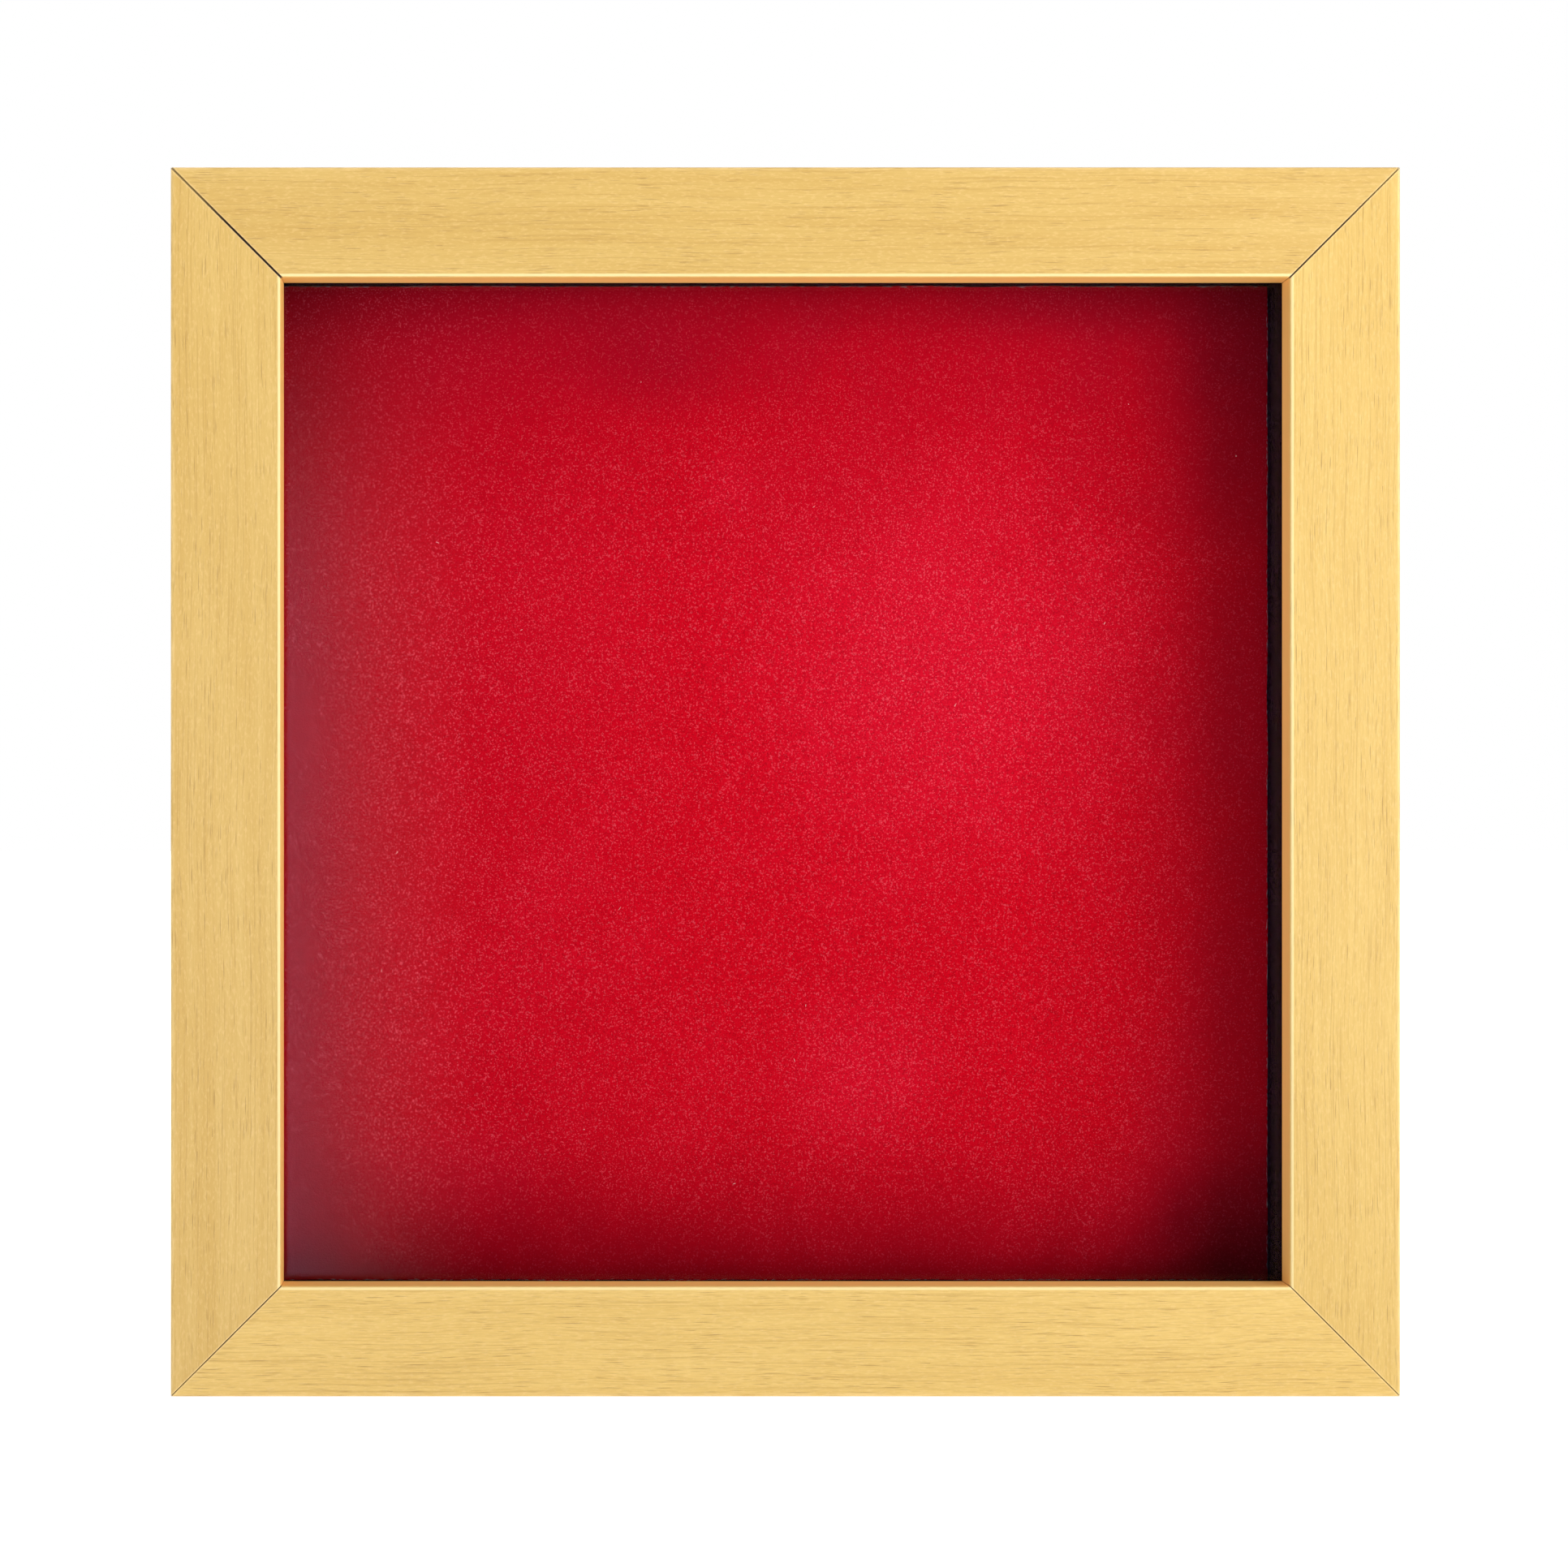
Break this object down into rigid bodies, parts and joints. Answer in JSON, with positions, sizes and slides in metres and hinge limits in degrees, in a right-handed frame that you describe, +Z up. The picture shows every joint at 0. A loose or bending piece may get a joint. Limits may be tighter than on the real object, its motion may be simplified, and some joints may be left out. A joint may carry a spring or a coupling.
{
  "type": "shadow box",
  "caption": "Square wooden shadow box with a mitred frame, a glass front, black felt walls and a velvet-covered back that lifts out when the turn buttons are open.",
  "frame": {"origin": "bottom centre of the bounding box: the middle of the footprint that the box stands on", "axes": "+Z up, the glass front faces -Y, +X to the right as seen from the front"},
  "size_m": [0.351, 0.0638, 0.351],
  "materials": {
    "frame_wood": "satin lacquer",
    "clear_glass": "polished",
    "black_felt": "matte felt on card",
    "red_velvet": "short pile velvet",
    "foam_board": "matte",
    "hardboard": "smooth hardboard",
    "button_steel": "zinc plated",
    "zinc_steel": "zinc plated",
    "nail_steel": "dark steel",
    "bumper_rubber": "matte"
  },
  "bodies": {
    "frame": {"frame_bottom_rail": "frame_wood", "frame_right_rail": "frame_wood", "frame_top_rail": "frame_wood", "frame_left_rail": "frame_wood", "corner_nails": "nail_steel", "glass_pane": "clear_glass", "liner_bottom": "black_felt", "liner_right": "black_felt", "liner_top": "black_felt", "liner_left": "black_felt", "button_screws": "zinc_steel", "hanger_strap_left": "zinc_steel", "hanger_strap_right": "zinc_steel", "hanger_screws": "zinc_steel", "wall_bumpers": "bumper_rubber"},
    "back_panel": {"velvet_cover": "red_velvet", "mount_board": "foam_board", "backing_board": "hardboard"},
    "button_bottom_left": {"button_bottom_left": "button_steel"},
    "button_bottom_right": {"button_bottom_right": "button_steel"},
    "button_right_lower": {"button_right_lower": "button_steel"},
    "button_right_upper": {"button_right_upper": "button_steel"},
    "button_top_right": {"button_top_right": "button_steel"},
    "button_top_left": {"button_top_left": "button_steel"},
    "button_left_upper": {"button_left_upper": "button_steel"},
    "button_left_lower": {"button_left_lower": "button_steel"},
    "hanger_ring_left": {"hanger_ring_left": "zinc_steel"},
    "hanger_ring_right": {"hanger_ring_right": "zinc_steel"}
  },
  "joints": [
    {"name": "back_panel_slide", "type": "slide", "parent": "frame", "child": "back_panel", "axis": [0, 1, 0], "range_m": [0, 0.08]},
    {"name": "button_bottom_left_turn", "type": "hinge", "parent": "frame", "child": "button_bottom_left", "pos_m": [-0.0705, 0.0264, 0.01125], "axis": [0, -1, 0], "range_deg": [0, 90]},
    {"name": "button_bottom_right_turn", "type": "hinge", "parent": "frame", "child": "button_bottom_right", "pos_m": [0.0705, 0.0264, 0.01125], "axis": [0, 1, 0], "range_deg": [0, 90]},
    {"name": "button_right_lower_turn", "type": "hinge", "parent": "frame", "child": "button_right_lower", "pos_m": [0.16425, 0.0264, 0.105], "axis": [0, -1, 0], "range_deg": [0, 90]},
    {"name": "button_right_upper_turn", "type": "hinge", "parent": "frame", "child": "button_right_upper", "pos_m": [0.16425, 0.0264, 0.246], "axis": [0, 1, 0], "range_deg": [0, 90]},
    {"name": "button_top_right_turn", "type": "hinge", "parent": "frame", "child": "button_top_right", "pos_m": [0.0705, 0.0264, 0.33975], "axis": [0, -1, 0], "range_deg": [0, 90]},
    {"name": "button_top_left_turn", "type": "hinge", "parent": "frame", "child": "button_top_left", "pos_m": [-0.0705, 0.0264, 0.33975], "axis": [0, 1, 0], "range_deg": [0, 90]},
    {"name": "button_left_upper_turn", "type": "hinge", "parent": "frame", "child": "button_left_upper", "pos_m": [-0.16425, 0.0264, 0.246], "axis": [0, -1, 0], "range_deg": [0, 90]},
    {"name": "button_left_lower_turn", "type": "hinge", "parent": "frame", "child": "button_left_lower", "pos_m": [-0.16425, 0.0264, 0.105], "axis": [0, 1, 0], "range_deg": [0, 90]},
    {"name": "hanger_ring_left_swing", "type": "hinge", "parent": "frame", "child": "hanger_ring_left", "pos_m": [-0.16425, 0.0288, 0.293], "axis": [1, 0, 0], "range_deg": [0, 180]},
    {"name": "hanger_ring_right_swing", "type": "hinge", "parent": "frame", "child": "hanger_ring_right", "pos_m": [0.16425, 0.0288, 0.293], "axis": [1, 0, 0], "range_deg": [0, 180]}
  ]
}
